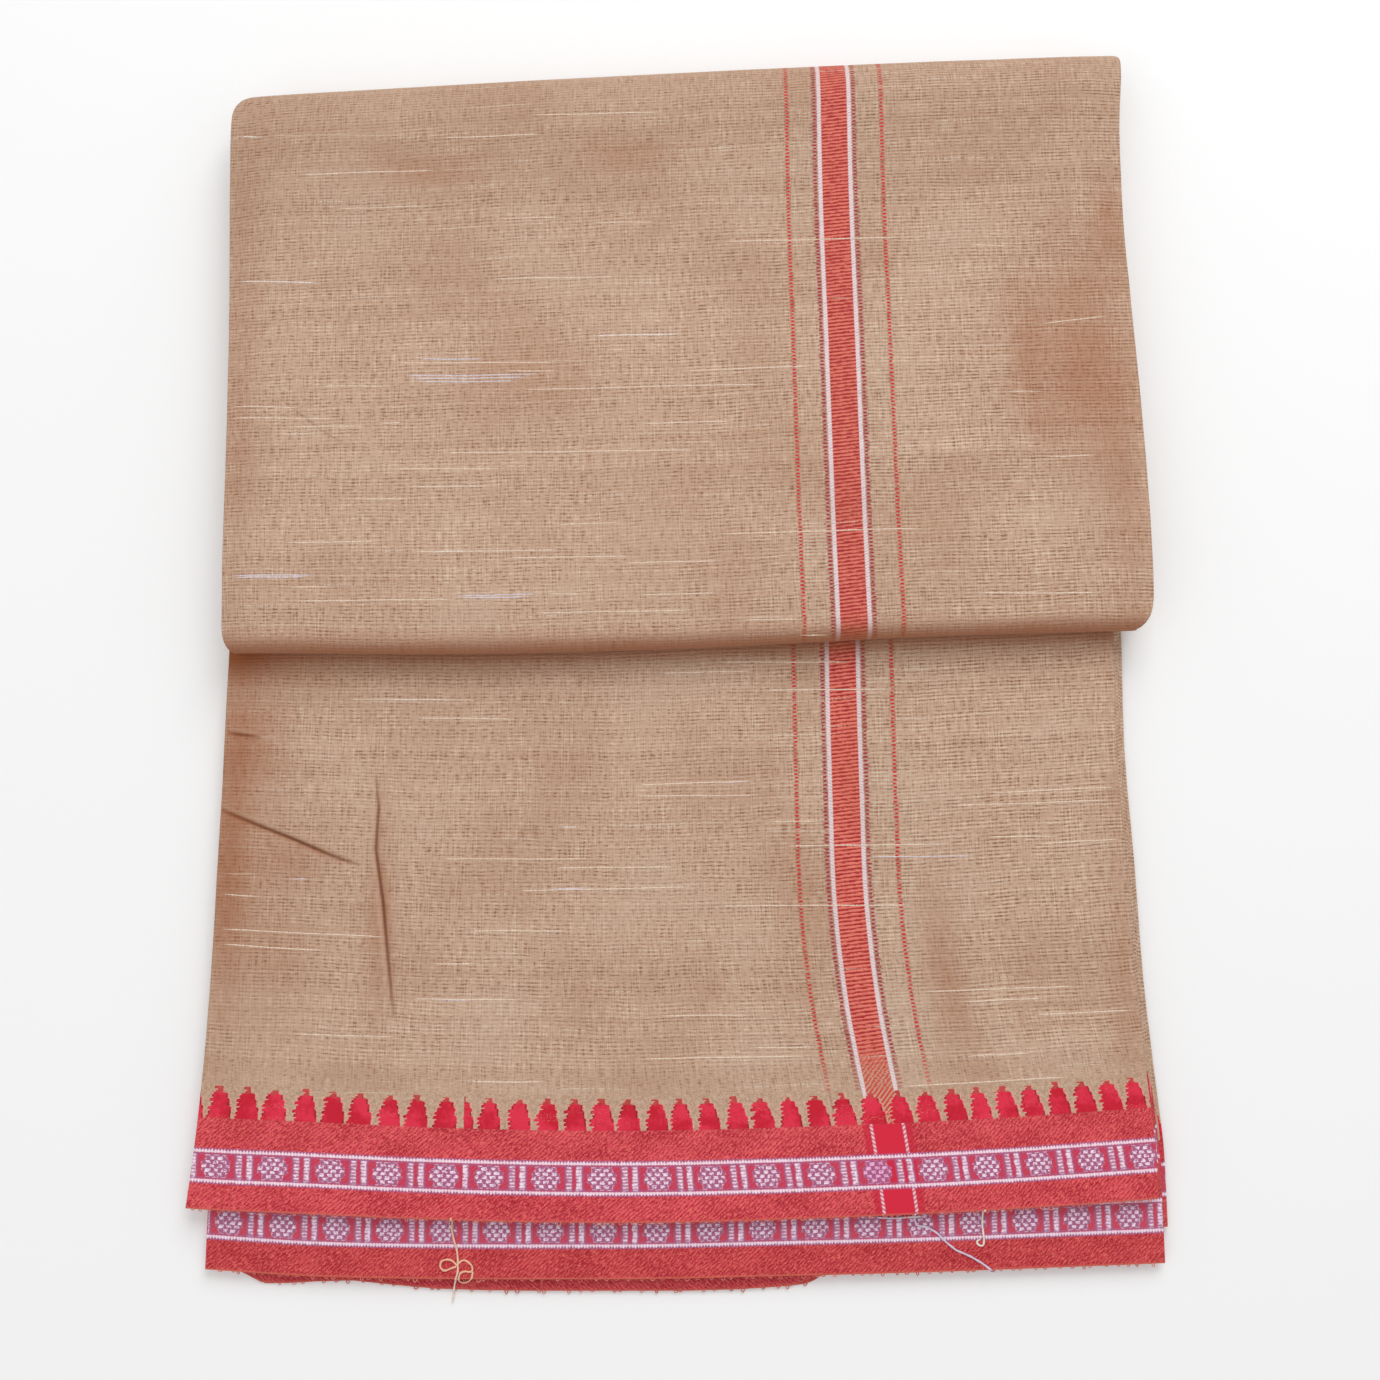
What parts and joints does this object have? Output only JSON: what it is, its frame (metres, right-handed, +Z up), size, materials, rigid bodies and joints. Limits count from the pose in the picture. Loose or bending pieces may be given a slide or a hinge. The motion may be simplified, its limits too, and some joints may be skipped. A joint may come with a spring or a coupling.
{
  "type": "folded mundu",
  "caption": "Mundu, a wrap cloth of slubbed beige cotton with a red woven spike border and a cross stripe, folded into a flat pack with its top third turned over.",
  "frame": {"origin": "on the surface, under the middle of the folded pack", "axes": "+X along the woven border to the right, +Y from the selvedges to the top fold, +Z up out of the cloth"},
  "size_m": [0.3456, 0.463, 0.0229],
  "materials": {
    "beige_cotton": "plain weave handloom cotton with pale slubs, matt",
    "red_border": "twill woven border in red cotton with white figures, faint sheen",
    "inner_cotton": "folded plies of the same cotton, matt"
  },
  "bodies": {
    "root": {"upper_panel": "beige_cotton", "lower_panel": "beige_cotton", "lower_border": "red_border", "second_border": "red_border", "back_border": "red_border", "back_panel": "beige_cotton", "hidden_layers": "inner_cotton"}
  },
  "joints": []
}
